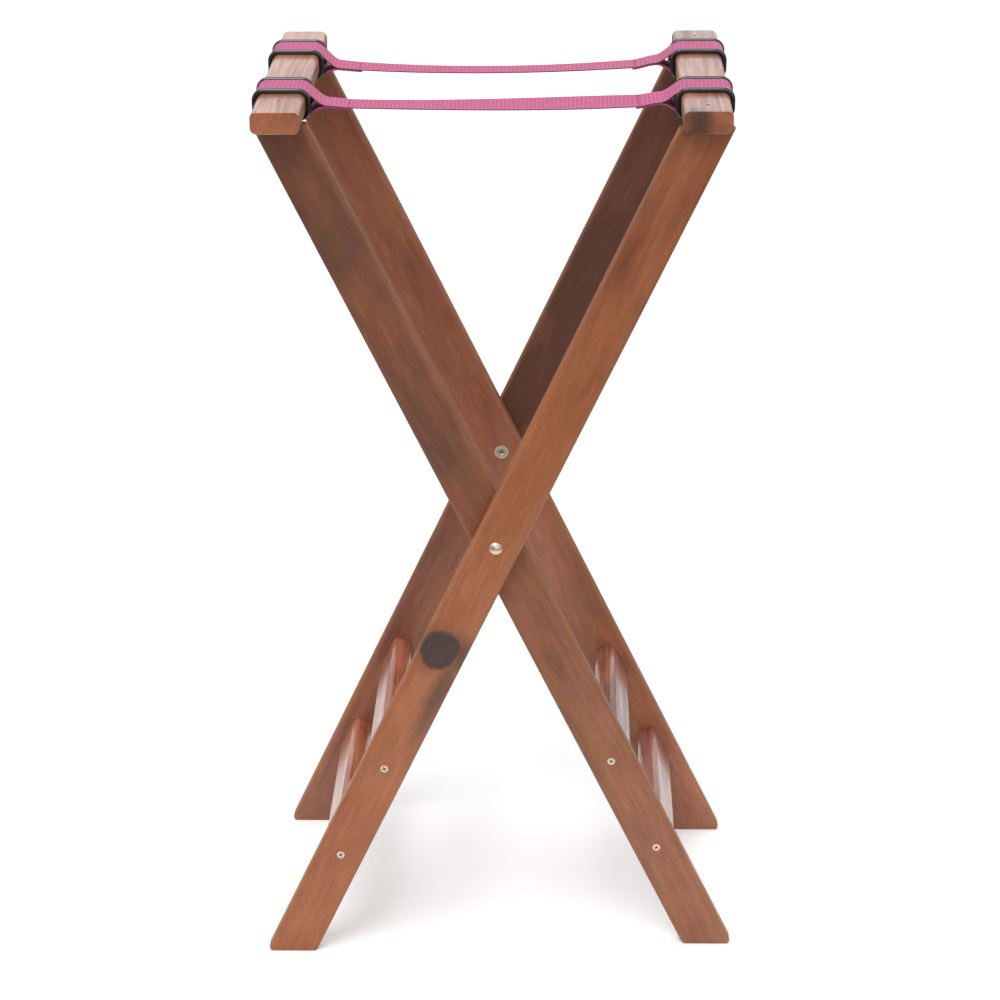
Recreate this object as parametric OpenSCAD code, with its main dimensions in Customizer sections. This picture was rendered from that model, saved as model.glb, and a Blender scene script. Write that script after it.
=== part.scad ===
// Folding stand: two nested wooden frames cross at a pair of pivot rivets and
// carry a level rail each. Two webbing straps, looped round both rails over
// moulded sleeves, stop the frames from spreading and carry the load.
// X is the width, Y the depth with the front at -Y, Z is up. The origin is on
// the floor, under the middle of the pivots.

/* [Stand] */
// Height of the rail tops above the floor
rail_top_z = 965; // [780:1:1080]
// Height of the pivot axis above the floor
pivot_z = 491; // [420:1:560]
// Lean of each leg from upright when the straps are taut
leg_lean = 25.3; // [20:0.1:30]

/* [Legs] */
// Width of a leg's face
leg_w = 50.5; // [44:0.5:58]
// Thickness of a leg
leg_t = 18; // [16:0.5:26]
// Radius on the long edges of a leg
leg_round = 5; // [2:0.5:7]
// Radius on the two corners of a foot, seen from the front
foot_round = 5; // [2:0.5:8]
// Radius on the front and back edges of a foot's sole
sole_round = 1.5; // [0.5:0.1:3]
// Gap between an outer leg and the inner leg beside it
leg_gap = 1.2; // [0.8:0.1:3]

/* [Rails] */
// Length of a rail, front to back
rail_len = 348; // [300:1:460]
// Width of a rail
rail_w = 49; // [40:0.5:56]
// Thickness of a rail
rail_t = 23; // [20:0.5:30]
// Radius on the long edges of a rail
rail_round = 7; // [3:0.5:9]
// How far a rail runs past the outer legs at each end
rail_overhang = 16; // [4:0.5:30]
// Small flat on the edges of the rail and stretcher stock where it is cut
end_ease = 0.8; // [0.3:0.1:1.5]

/* [Stretchers] */
// Width of a stretcher, measured along the leg
stretcher_w = 48; // [38:0.5:56]
// Thickness of a stretcher, measured across the leg
stretcher_t = 24; // [18:0.5:28]
// Radius on the long edges of a stretcher
stretcher_round = 7; // [3:0.5:8]
// Height of the screws of the upper stretchers
upper_screw_z = 230; // [210:1:250]
// Height of the screws of the lower stretchers
lower_screw_z = 123; // [90:1:140]
// How far the middle of a stretcher lies below its screw, along the leg
stretcher_drop = 9; // [0:0.5:14]

/* [Pivots] */
// Diameter of a rivet's shank
shank_d = 8; // [6:0.1:10]
// Diameter of a rivet's domed head
dome_d = 14; // [12:0.1:18]
// Height of a rivet's domed head
dome_h = 3.2; // [2:0.1:4]
// Diameter of a rivet's rolled-over end
clinch_d = 11; // [10.6:0.1:12]
// How far the rolled-over end stands above its washer
clinch_h = 0.9; // [0.6:0.1:1.5]
// Diameter of the hollow in a rivet's end
hollow_d = 4.6; // [3:0.1:5]
// Depth of the hollow in a rivet's end
hollow_l = 9; // [4:0.5:14]
// Diameter of the washer under a rivet's rolled-over end
washer_d = 16; // [15:0.1:22]
// Thickness of that washer
washer_t = 1; // [0.8:0.1:1.5]
// Width of the raised rim round that washer
washer_rim_w = 1.3; // [0.8:0.1:1.6]
// Height of the raised rim above the washer
washer_rim_h = 0.7; // [0.3:0.1:1]
// Diameter of the spacer between the legs
spacer_d = 24; // [18:0.5:32]
// Radial clearance of a rivet's shank in the legs and washers
pivot_clear = 0.08; // [0.05:0.01:0.1]
// Clearance between faces that turn past each other
turn_clear = 0.3; // [0.2:0.05:0.4]

/* [Screws and nails] */
// Diameter of a stretcher screw's head
screw_head_d = 8.4; // [7:0.1:10]
// Diameter of a stretcher screw's shank
screw_d = 4; // [3:0.1:5]
// Length of a stretcher screw
screw_len = 45; // [35:1:60]
// How far a screw's head lies below the face of the leg
screw_sink = 0.3; // [0.1:0.05:1]
// Width of the arms of the cross recess in a screw's head
cross_w = 1.1; // [0.6:0.1:1.4]
// Length of the arms of the cross recess, tip to tip
cross_l = 4.8; // [3:0.1:5.5]
// Depth of the cross recess
cross_depth = 1.6; // [0.8:0.1:2]
// Turn of the cross recess from the line of its leg
cross_turn = 45; // [0:5:90]
// Diameter of the flat at a screw's tip
screw_tip_d = 0.4; // [0.2:0.1:1]
// Diameter of a rail nail's head
nail_head_d = 3.4; // [2.8:0.1:5]
// Height of a rail nail's head
nail_head_h = 1; // [0.6:0.1:2]
// Diameter of a rail nail's shank
nail_d = 2.2; // [1.6:0.1:2.6]
// Length of a rail nail
nail_len = 50; // [40:1:65]
// How far a nail's head is punched below the rail's top
nail_sink = 1.2; // [0.5:0.1:3]
// Radial clearance of a screw or nail in its hole
fastener_clear = 0.1; // [0.05:0.01:0.3]

/* [Straps] */
// Width of the webbing
strap_w = 38; // [25:0.5:50]
// Thickness of the webbing
strap_t = 1.6; // [1:0.1:2.2]
// Middle of the front strap, from the front ends of the rails
strap_front_inset = 97; // [88:1:120]
// Middle of the rear strap, from the rear ends of the rails
strap_rear_inset = 85; // [85:1:120]
// How far the taut span lies below the middle of the rails
strap_span_drop = 3; // [0:0.5:6]
// Distance from a rail's inner side to the start of the sewn overlap
throat_len = 21; // [18:0.5:30]
// Length of the sewn overlap
sewn_len = 24; // [15:1:45]

/* [Strap sleeves] */
// Thickness of a sleeve's band under the strap
band_t = 1.5; // [1:0.1:2.5]
// Diameter of the round bead along each edge of a sleeve
bead_d = 5.2; // [4.6:0.1:7]
// Gap between a strap's edge and the beads beside it
strap_play = 1.4; // [0.5:0.1:3]
// Clearance of a sleeve on its rail
sleeve_clear = 0.2; // [0.1:0.05:0.4]
// Clearance of a strap on its sleeve
strap_clear = 0.3; // [0.1:0.05:0.5]

/* [Hidden] */
$fn = 64;
// Straight steps in a large arc, in a small one and in a strap's S
arc_steps = 10;
small_arc_steps = 5;
curve_steps = 14;

wood = [0.60, 0.36, 0.24];
wood_dark = [0.47, 0.28, 0.20];
nickel = [0.80, 0.78, 0.74];
black_rubber = [0.09, 0.09, 0.10];
webbing = [0.84, 0.42, 0.60];

// Heights
rail_under_z = rail_top_z - rail_t;
rail_mid_z = rail_top_z - rail_t / 2;
// Sideways place of a rail: over the middle of its legs' cut tops
rail_x = (rail_under_z - pivot_z) * tan(leg_lean);
// Half of the width of a leg on a level cut
leg_cut_half = leg_w / 2 / cos(leg_lean);
// Depths, from the middle of the stand to a face
outer_face_y = rail_len / 2 - rail_overhang;
outer_back_y = outer_face_y - leg_t;
inner_face_y = outer_back_y - leg_gap;
inner_back_y = inner_face_y - leg_t;
// Bores
pivot_bore_d = shank_d + 2 * pivot_clear;
screw_bore_d = screw_d + 2 * fastener_clear;
nail_bore_d = nail_d + 2 * fastener_clear;
// Height of a 90 degree countersunk head, from its rim to its shank
screw_cone_h = (screw_head_d - screw_d) / 2;
// The strap's own surface, above the rail that it goes round
strap_lift = sleeve_clear + band_t + strap_clear;
strap_z = rail_mid_z - strap_span_drop;
// Where the two strands of a loop meet and the sewn overlap starts
sewn_x = rail_x - rail_w / 2 - throat_len;
// Beads stand on the rail, one past each edge of the strap
bead_y = strap_w / 2 + strap_play + bead_d / 2;
strap_front_y = -rail_len / 2 + strap_front_inset;
strap_rear_y = rail_len / 2 - strap_rear_inset;
// Extra length of a cutting shape past the face that it cuts
over = 2;

// ---------------------------------------------------------------- shapes

// Points of an arc, from angle a0 to a1
function arc(c, r, a0, a1, steps = arc_steps) =
  [for (i = [0 : steps]) let (a = a0 + (a1 - a0) * i / steps) c + r * [cos(a), sin(a)]];

// Unit normal to the left of a path at point i
function left_normal(path, i) =
  let (a = path[max(i - 1, 0)], b = path[min(i + 1, len(path) - 1)], d = b - a)
  [-d.y, d.x] / norm(d);

// The path moved sideways by d, to its left when d is positive
function beside(path, d) = [for (i = [0 : len(path) - 1]) path[i] + d * left_normal(path, i)];

function backwards(path) = [for (i = [len(path) - 1 : -1 : 0]) path[i]];

// An easy S from a to b that leaves and arrives level
function ease(a, b, steps = curve_steps) =
  [for (i = [0 : steps]) let (u = i / steps)
    [a.x + (b.x - a.x) * u, b.y + (a.y - b.y) * (1 + cos(180 * u)) / 2]];

// Rectangle with round corners, centred
module round_rect(w, h, r) {
  square([w - 2 * r, h], center = true);
  square([w, h - 2 * r], center = true);
  for (x = [-1, 1], y = [-1, 1])
    translate([x * (w / 2 - r), y * (h / 2 - r)]) circle(r = r);
}

// Outline that eases the corners of a w wide and l long bar at its ends only:
// its sides lie outside the bar and its ends lie "past" beyond the bar's
module ease_outline(w, l, past) {
  out = w / 2 + over;
  end = l / 2 + past;
  x = w / 2 - end_ease - past;
  y = l / 2 - end_ease - over;
  polygon([[-x, end], [-out, y], [-out, -y], [-x, -end], [x, -end], [out, -y], [out, y], [x, end]]);
}

// Round-edged stock of width w (X), thickness t (Z) and length l (Y)
module stock(w, t, l, r) {
  intersection() {
    rotate([90, 0, 0]) linear_extrude(l + 2 * over, center = true) round_rect(w, t, r);
    linear_extrude(t + 2 * over, center = true) ease_outline(w, l, 0);
    rotate([0, 90, 0]) linear_extrude(w + 2 * over, center = true)
      ease_outline(t, l, end_ease);
  }
}

// ---------------------------------------------------------------- legs

// Front outline of a leg that runs from the top right to the bottom left, with
// the pivot at the origin. Its sides lie just outside the leg's own, apart
// from the arcs that round the foot.
module leg_outline() {
  floor_z = -pivot_z;
  top_z = rail_under_z - pivot_z;
  foot_x = floor_z * tan(leg_lean);
  top_x = top_z * tan(leg_lean);
  c_out = [foot_x - leg_cut_half + foot_round / tan((90 - leg_lean) / 2), floor_z + foot_round];
  c_in = [foot_x + leg_cut_half - foot_round / tan((90 + leg_lean) / 2), floor_z + foot_round];
  n = [cos(leg_lean), -sin(leg_lean)];
  out = over / cos(leg_lean);
  polygon(concat(
    [[top_x - leg_cut_half - out, top_z], c_out - (foot_round + over) * n],
    arc(c_out, foot_round, 180 - leg_lean, 270),
    [[c_out.x, floor_z - over], [c_in.x, floor_z - over]],
    arc(c_in, foot_round, 270, 360 - leg_lean),
    [c_in + (foot_round + over) * n, [top_x + leg_cut_half + out, top_z]]
  ));
}

// Side outline of a leg of thickness leg_t, with the sole's edges rounded
module leg_side_outline() {
  out = leg_t / 2 + over;
  c = leg_t / 2 - sole_round;
  polygon(concat(
    [[-out, rail_top_z], [-out, sole_round]],
    arc([-c, sole_round], sole_round, 180, 270, small_arc_steps),
    arc([c, sole_round], sole_round, 270, 360, small_arc_steps),
    [[out, sole_round], [out, rail_top_z]]
  ));
}

// A leg's wood, its face at y = 0 and its thickness towards +Y, pivot at x = 0
module leg_wood() {
  reach = rail_top_z;
  translate([0, leg_t / 2, 0]) intersection() {
    translate([0, 0, pivot_z]) rotate([0, leg_lean, 0])
      linear_extrude(2 * reach, center = true) round_rect(leg_w, leg_t, leg_round);
    translate([0, 0, pivot_z]) rotate([90, 0, 0])
      linear_extrude(leg_t + 2 * over, center = true) leg_outline();
    rotate([90, 0, 90]) linear_extrude(2 * reach, center = true) leg_side_outline();
  }
}

// Sideways place on a leg's centre line at height z
function leg_x(z) = (z - pivot_z) * tan(leg_lean);

// Countersunk through hole for a stretcher screw, from the leg's face at y = 0
module screw_hole() {
  rotate([-90, 0, 0]) {
    translate([0, 0, -over]) cylinder(d = screw_bore_d, h = leg_t + 2 * over);
    translate([0, 0, -over]) cylinder(d = screw_head_d + 2 * fastener_clear, h = over + screw_sink);
    translate([0, 0, screw_sink])
      cylinder(d1 = screw_head_d + 2 * fastener_clear, d2 = screw_bore_d, h = screw_cone_h);
  }
}

// A finished leg of the outer kind at the front, with its face at y = 0
module leg() {
  difference() {
    leg_wood();
    translate([0, -over, pivot_z]) rotate([-90, 0, 0])
      cylinder(d = pivot_bore_d, h = leg_t + 2 * over);
    for (z = [upper_screw_z, lower_screw_z])
      translate([leg_x(z), 0, z]) screw_hole();
    translate([rail_x, leg_t / 2, rail_top_z - nail_sink - nail_len - over])
      cylinder(d = nail_bore_d, h = nail_len + rail_t);
  }
}

// Front leg of a frame whose face is at distance y from the middle
module front_leg(y) {
  translate([0, -y, 0]) leg();
}

// Rear leg of the same frame: the front one's mirror image
module rear_leg(y) {
  mirror([0, 1, 0]) front_leg(y);
}

module outer_front_leg() { color(wood) front_leg(outer_face_y); }
module outer_rear_leg() { color(wood) rear_leg(outer_face_y); }
module inner_front_leg() { color(wood_dark) mirror([1, 0, 0]) front_leg(inner_face_y); }
module inner_rear_leg() { color(wood_dark) mirror([1, 0, 0]) rear_leg(inner_face_y); }

// ---------------------------------------------------------------- rails

// The right-hand rail, over legs whose faces are at distance face_y
module rail(face_y) {
  difference() {
    translate([rail_x, 0, rail_mid_z]) stock(rail_w, rail_t, rail_len, rail_round);
    for (y = [-1, 1]) translate([rail_x, y * (face_y - leg_t / 2), 0]) {
      translate([0, 0, rail_under_z - over]) cylinder(d = nail_bore_d, h = rail_t + 2 * over);
      translate([0, 0, rail_top_z - nail_sink - nail_head_h])
        cylinder(d = nail_head_d + 2 * fastener_clear, h = nail_sink + nail_head_h + over);
    }
  }
}

// The two nails of the right-hand rail, punched below its top
module rail_nails(face_y) {
  for (y = [-1, 1])
    translate([rail_x, y * (face_y - leg_t / 2), rail_top_z - nail_sink - nail_len]) {
      cylinder(d = nail_d, h = nail_len - nail_head_h / 2);
      translate([0, 0, nail_len - nail_head_h]) cylinder(d = nail_head_d, h = nail_head_h);
    }
}

module right_rail() { color(wood) rail(outer_face_y); }
module left_rail() { color(wood) mirror([1, 0, 0]) rail(inner_face_y); }
module right_rail_nails() { color(nickel) rail_nails(outer_face_y); }
module left_rail_nails() { color(nickel) mirror([1, 0, 0]) rail_nails(inner_face_y); }

// ---------------------------------------------------------------- stretchers

// A stretcher between two legs of the outer kind whose backs are at distance
// back_y, with its screws at height z
module stretcher(z, back_y) {
  difference() {
    translate([leg_x(z), 0, z]) rotate([0, leg_lean, 0]) translate([0, 0, -stretcher_drop])
      rotate([0, 90, 0]) stock(stretcher_w, stretcher_t, 2 * back_y, stretcher_round);
    for (y = [-1, 1]) translate([leg_x(z), y * back_y, z]) rotate([90 * y, 0, 0])
      translate([0, 0, -over])
        cylinder(d = screw_bore_d, h = screw_sink + screw_len - leg_t + 2 * over);
  }
}

// A screw with its head's rim at y = screw_sink, running towards +Y
module stretcher_screw() {
  rotate([-90, 0, 0]) translate([0, 0, screw_sink]) difference() {
    union() {
      cylinder(d1 = screw_head_d, d2 = screw_d, h = screw_cone_h);
      translate([0, 0, screw_cone_h / 2])
        cylinder(d = screw_d, h = screw_len - screw_cone_h / 2 - screw_d);
      translate([0, 0, screw_len - screw_d]) cylinder(d1 = screw_d, d2 = screw_tip_d, h = screw_d);
    }
    for (a = [0, 90]) rotate([0, 0, a + cross_turn + leg_lean])
      translate([-cross_l / 2, -cross_w / 2, -over]) cube([cross_l, cross_w, cross_depth + over]);
  }
}

// The four screws of a frame of the outer kind
module frame_screws(face_y) {
  for (y = [0, 1], z = [upper_screw_z, lower_screw_z])
    mirror([0, y, 0]) translate([leg_x(z), -face_y, z]) stretcher_screw();
}

module outer_upper_stretcher() { color(wood) stretcher(upper_screw_z, outer_back_y); }
module outer_lower_stretcher() { color(wood) stretcher(lower_screw_z, outer_back_y); }
module inner_upper_stretcher() { color(wood) mirror([1, 0, 0]) stretcher(upper_screw_z, inner_back_y); }
module inner_lower_stretcher() { color(wood) mirror([1, 0, 0]) stretcher(lower_screw_z, inner_back_y); }
module outer_stretcher_screws() { color(nickel) frame_screws(outer_face_y); }
module inner_stretcher_screws() { color(nickel) mirror([1, 0, 0]) frame_screws(inner_face_y); }

// ---------------------------------------------------------------- pivots

// Distances along the front pivot, from the outer leg's face inwards
stack_l = 2 * leg_t + leg_gap;
washer_face = stack_l + turn_clear + washer_t;

// Rivet with its head on the face at y = 0, its shank along +Y
module rivet() {
  dome_r = (pow(dome_d / 2, 2) + dome_h * dome_h) / (2 * dome_h);
  dome_a = asin(dome_d / 2 / dome_r);
  rotate([-90, 0, 0]) rotate_extrude() polygon(concat(
    [for (i = [0 : arc_steps]) let (a = dome_a * i / arc_steps)
      [dome_r * sin(a), dome_r - dome_h - dome_r * cos(a)]],
    [[shank_d / 2, 0], [shank_d / 2, washer_face]],
    arc([clinch_d / 2 - clinch_h, washer_face], clinch_h, 0, 90, small_arc_steps),
    [[hollow_d / 2 + clinch_h, washer_face + clinch_h]],
    [[hollow_d / 2, washer_face], [hollow_d / 2, washer_face - hollow_l], [0, washer_face - hollow_l]]
  ));
}

// Spacer between the legs, lying on the back of the outer one
module spacer() {
  translate([0, leg_t, 0]) rotate([-90, 0, 0]) difference() {
    cylinder(d = spacer_d, h = leg_gap - turn_clear);
    translate([0, 0, -over]) cylinder(d = pivot_bore_d, h = leg_gap + 2 * over);
  }
}

// Rimmed washer that the rivet's end is rolled over
module end_washer() {
  translate([0, stack_l + turn_clear, 0]) rotate([-90, 0, 0]) difference() {
    cylinder(d = washer_d, h = washer_t + washer_rim_h);
    translate([0, 0, washer_t]) cylinder(d = washer_d - 2 * washer_rim_w, h = washer_rim_h + over);
    translate([0, 0, -over]) cylinder(d = pivot_bore_d, h = washer_t + 2 * over);
  }
}

module at_front_pivot() {
  translate([0, -outer_face_y, pivot_z]) children();
}

module at_rear_pivot() {
  mirror([0, 1, 0]) at_front_pivot() children();
}

module front_pivot_rivet() { color(nickel) at_front_pivot() rivet(); }
module front_pivot_spacer() { color(nickel) at_front_pivot() spacer(); }
module front_pivot_washer() { color(nickel) at_front_pivot() end_washer(); }
module rear_pivot_rivet() { color(nickel) at_rear_pivot() rivet(); }
module rear_pivot_spacer() { color(nickel) at_rear_pivot() spacer(); }
module rear_pivot_washer() { color(nickel) at_rear_pivot() end_washer(); }

// ---------------------------------------------------------------- sleeves

// Section of a sleeve: x is the height above the rail, y runs along the rail
module sleeve_section() {
  translate([0, -bead_y]) square([band_t, 2 * bead_y]);
  for (y = [-bead_y, bead_y]) translate([bead_d / 2, y]) circle(d = bead_d);
}

// A straight stretch of the sleeve along +X, lying on the plane z = 0
module sleeve_run(l) {
  rotate([0, -90, 0]) linear_extrude(l, center = true) sleeve_section();
}

// A quarter turn of the sleeve round the Y axis, from +Z towards +X
module sleeve_turn() {
  rotate([90, 0, 0]) rotate_extrude(angle = 90)
    translate([rail_round + sleeve_clear, 0]) sleeve_section();
}

// Sleeve round a rail that lies along Y with its middle at the origin
module sleeve() {
  flat_w = rail_w - 2 * rail_round;
  flat_h = rail_t - 2 * rail_round;
  for (a = [0, 180]) rotate([0, a, 0]) {
    translate([0, 0, rail_t / 2 + sleeve_clear]) sleeve_run(flat_w);
    translate([rail_w / 2 + sleeve_clear, 0, 0]) rotate([0, 90, 0]) sleeve_run(flat_h);
    translate([flat_w / 2, 0, flat_h / 2]) sleeve_turn();
    translate([flat_w / 2, 0, -flat_h / 2]) rotate([0, 90, 0]) sleeve_turn();
  }
}

module sleeve_at(side, y) {
  color(black_rubber) translate([side * rail_x, y, rail_mid_z]) sleeve();
}

module right_front_strap_sleeve() { sleeve_at(1, strap_front_y); }
module right_rear_strap_sleeve() { sleeve_at(1, strap_rear_y); }
module left_front_strap_sleeve() { sleeve_at(-1, strap_front_y); }
module left_rear_strap_sleeve() { sleeve_at(-1, strap_rear_y); }

// ---------------------------------------------------------------- straps

// Middle line of the right-hand loop, in [X, Z]: from the sewn overlap up over
// the rail, down its outer side, back under it and up again
function loop_path() =
  let (
    r = rail_round + strap_lift + strap_t / 2,
    cx = rail_w / 2 - rail_round,
    cz = rail_t / 2 - rail_round
  )
  concat(
    ease([sewn_x, strap_z + strap_t / 2], [rail_x - cx, rail_mid_z + cz + r]),
    arc([rail_x + cx, rail_mid_z + cz], r, 90, 0),
    arc([rail_x + cx, rail_mid_z - cz], r, 0, -90),
    ease([rail_x - cx, rail_mid_z - cz - r], [sewn_x, strap_z - strap_t / 2])
  );

// Outside of the right-hand half: the span's top, the loop and the sewn tail
function half_outline() = concat(
  beside(loop_path(), strap_t / 2),
  [[sewn_x - sewn_len, strap_z - strap_t], [sewn_x - sewn_len, strap_z]]
);

// Inside of the right-hand loop, from where its two strands have parted
module loop_hole() {
  inside = beside(loop_path(), -strap_t / 2);
  polygon([for (i = [1 : len(inside) - 2]) inside[i]]);
}

// A whole strap in [X, Z]
module strap_outline() {
  difference() {
    polygon(concat(half_outline(), [for (p = backwards(half_outline())) [-p.x, p.y]]));
    loop_hole();
    mirror([1, 0]) loop_hole();
  }
}

module strap(y) {
  color(webbing) translate([0, y, 0]) rotate([90, 0, 0])
    linear_extrude(strap_w, center = true) strap_outline();
}

module front_strap() { strap(strap_front_y); }
module rear_strap() { strap(strap_rear_y); }

// ---------------------------------------------------------------- nodes

outer_front_leg();
outer_rear_leg();
right_rail();
outer_upper_stretcher();
outer_lower_stretcher();
outer_stretcher_screws();
right_rail_nails();
inner_front_leg();
inner_rear_leg();
left_rail();
inner_upper_stretcher();
inner_lower_stretcher();
inner_stretcher_screws();
left_rail_nails();
front_pivot_rivet();
front_pivot_spacer();
front_pivot_washer();
rear_pivot_rivet();
rear_pivot_spacer();
rear_pivot_washer();
right_front_strap_sleeve();
right_rear_strap_sleeve();
left_front_strap_sleeve();
left_rear_strap_sleeve();
front_strap();
rear_strap();
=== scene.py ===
"""Dresses a tall folding stand of varnished wood with webbing straps.

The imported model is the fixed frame. Its wooden, metal and rubber parts keep
their shapes and get procedural finishes. The two webbing straps are made anew
as ribbed ribbons with sewn ends. Lengths are in metres and angles in degrees,
unless a name says otherwise. X is the width, -Y the front and Z is up.
"""

import logging
import math
from collections.abc import Sequence
from dataclasses import dataclass, field
from enum import Enum

import bmesh
import bpy
from mathutils import Euler, Matrix, Vector


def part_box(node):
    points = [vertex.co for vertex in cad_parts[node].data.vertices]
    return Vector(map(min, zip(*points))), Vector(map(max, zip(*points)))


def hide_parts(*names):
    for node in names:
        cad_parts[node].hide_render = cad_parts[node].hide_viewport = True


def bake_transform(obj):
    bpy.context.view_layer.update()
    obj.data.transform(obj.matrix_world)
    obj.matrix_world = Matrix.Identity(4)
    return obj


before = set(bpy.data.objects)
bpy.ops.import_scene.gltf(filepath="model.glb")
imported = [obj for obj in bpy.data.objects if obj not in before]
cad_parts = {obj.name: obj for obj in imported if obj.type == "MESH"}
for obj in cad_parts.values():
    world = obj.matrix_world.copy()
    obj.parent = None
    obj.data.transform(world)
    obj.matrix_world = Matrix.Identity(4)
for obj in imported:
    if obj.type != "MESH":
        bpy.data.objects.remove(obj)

LOG = logging.getLogger("folding_stand")
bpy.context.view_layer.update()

Colour = tuple[float, float, float]
# What a board's own colour is multiplied by where its grain ends
END_GRAIN: Colour = (1.02, 0.80, 0.55)
LEG_LEAN = 25.3
RIB_PITCH = 0.00428
# Lengths below these count as nothing
WELD_REACH = 1e-7
SHORTEST_STEP = 1e-9
Socket = bpy.types.NodeSocket
Feed = Socket | float | int | Sequence[float]


def tone(red: int, green: int, blue: int) -> Colour:
    """Turn a display colour, each channel from 0 to 255, into linear light.

    Args:
        red: The red channel.
        green: The green channel.
        blue: The blue channel.

    Returns:
        The linear colour.
    """
    shares = (level / 255 for level in (red, green, blue))
    return tuple(s / 12.92 if s <= 0.04045 else ((s + 0.055) / 1.055) ** 2.4 for s in shares)


def middle(node: str) -> Vector:
    """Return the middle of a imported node's box."""
    low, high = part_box(node)
    return (low + high) / 2


# ---------------------------------------------------------------- shader tools


class NodeGraph:
    """Adds shader nodes to a tree and joins them up."""

    def __init__(self, tree: bpy.types.NodeTree) -> None:
        """Keep the tree that the nodes go into."""
        self.tree = tree

    def add(self, kind: str, **settings: object) -> bpy.types.Node:
        """Add a node.

        Args:
            kind: The node's Blender type, without "ShaderNode".
            **settings: Properties of the node, such as its operation.

        Returns:
            The new node.
        """
        node = self.tree.nodes.new("ShaderNode" + kind)
        for name, value in settings.items():
            setattr(node, name, value)
        return node

    def feed(self, socket: Socket, source: Feed) -> None:
        """Link an input to another node's output, or set its own value.

        Args:
            socket: The input.
            source: An output, a number, a vector or a colour.
        """
        if isinstance(source, Socket):
            self.tree.links.new(source, socket)
        elif isinstance(source, (int, float)):
            socket.default_value = source
        else:
            socket.default_value = (*source, 1.0)[: len(socket.default_value)]

    def math(self, operation: str, *feeds: Feed, clamp: bool = False) -> Socket:
        """Do one step of arithmetic.

        Args:
            operation: The Math node's operation.
            *feeds: Its inputs.
            clamp: Whether the result stays between 0 and 1.

        Returns:
            The result.
        """
        node = self.add("Math", operation=operation, use_clamp=clamp)
        for socket, source in zip(node.inputs, feeds):
            self.feed(socket, source)
        return node.outputs[0]

    def vector(self, operation: str, *feeds: Feed, result: str = "Vector") -> Socket:
        """Do one step of vector arithmetic.

        Args:
            operation: The Vector Math node's operation.
            *feeds: Its inputs.
            result: The output that is wanted, Vector or Value.

        Returns:
            The result.
        """
        node = self.add("VectorMath", operation=operation)
        for socket, source in zip(node.inputs, feeds):
            self.feed(socket, source)
        return node.outputs[result]

    def split(self, place: Feed) -> list[Socket]:
        """Return the X, Y and Z of a vector."""
        node = self.add("SeparateXYZ")
        self.feed(node.inputs[0], place)
        return list(node.outputs)

    def join(self, x: Feed, y: Feed, z: Feed) -> Socket:
        """Return the vector made of X, Y and Z."""
        node = self.add("CombineXYZ")
        for socket, source in zip(node.inputs, (x, y, z)):
            self.feed(socket, source)
        return node.outputs[0]

    def noise(self, place: Feed, cells: Sequence[float], detail: float = 2.0,
              roughness: float = 0.5, output: str = "Fac") -> Socket:
        """Add cloudy noise whose cells may be longer one way than another.

        Args:
            place: The place on the piece.
            cells: Cells per metre along X, Y and Z.
            detail: Octaves of finer noise.
            roughness: Strength of each finer octave.
            output: The output that is wanted, Fac or Color.

        Returns:
            The noise.
        """
        node = self.add("TexNoise")
        self.feed(node.inputs["Vector"], self.vector("MULTIPLY", place, cells))
        node.inputs["Scale"].default_value = 1.0
        node.inputs["Detail"].default_value = detail
        node.inputs["Roughness"].default_value = roughness
        return node.outputs[output]

    def ease(self, value: Feed, low: Feed, high: Feed,
             out_low: Feed = 0.0, out_high: Feed = 1.0) -> Socket:
        """Carry a value from one range to another with a smooth step.

        Args:
            value: The value.
            low: The value that gives out_low.
            high: The value that gives out_high.
            out_low: The result at low and past it.
            out_high: The result at high and past it.

        Returns:
            The eased value.
        """
        node = self.add("MapRange", interpolation_type="SMOOTHSTEP")
        for socket, source in zip(node.inputs, (value, low, high, out_low, out_high)):
            self.feed(socket, source)
        return node.outputs[0]

    def mix(self, share: Feed, base: Feed, top: Feed, blend: str = "MIX") -> Socket:
        """Mix two colours.

        Args:
            share: How much of the top colour there is.
            base: The colour at 0.
            top: The colour at 1.
            blend: The way of mixing.

        Returns:
            The mixed colour.
        """
        node = self.add("Mix", data_type="RGBA", blend_type=blend)
        factor, colours = node.inputs[0], node.inputs[6:8]
        self.feed(factor, share)
        self.feed(colours[0], base)
        self.feed(colours[1], top)
        return node.outputs[2]

    def dim(self, colour: Feed, share: Feed) -> Socket:
        """Return a colour times a grey share."""
        return self.mix(1.0, colour, self.join(share, share, share), "MULTIPLY")

    def effect(self, tree: bpy.types.NodeTree, **feeds: Feed) -> bpy.types.Node:
        """Place a shared effect.

        Args:
            tree: The effect's node group.
            **feeds: Its inputs by name, with _ for a space.

        Returns:
            The group's node.
        """
        node = self.add("Group")
        node.node_tree = tree
        for name, source in feeds.items():
            self.feed(node.inputs[name.replace("_", " ")], source)
        return node


def shared_effect(name: str, inputs: dict[str, str], outputs: dict[str, str]
                  ) -> tuple[NodeGraph, dict[str, Socket], dict[str, Socket]]:
    """Start a shader node group.

    Args:
        name: The group's name.
        inputs: Each input's name and socket kind.
        outputs: Each output's name and socket kind.

    Returns:
        The graph to build in, the group's inputs and its outputs by name.
    """
    tree = bpy.data.node_groups.new(name, "ShaderNodeTree")
    for way, sockets in (("INPUT", inputs), ("OUTPUT", outputs)):
        for label, kind in sockets.items():
            tree.interface.new_socket(label, in_out=way, socket_type="NodeSocket" + kind)
    start = tree.nodes.new("NodeGroupInput")
    end = tree.nodes.new("NodeGroupOutput")
    return NodeGraph(tree), {s.name: s for s in start.outputs}, {s.name: s for s in end.inputs}


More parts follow.
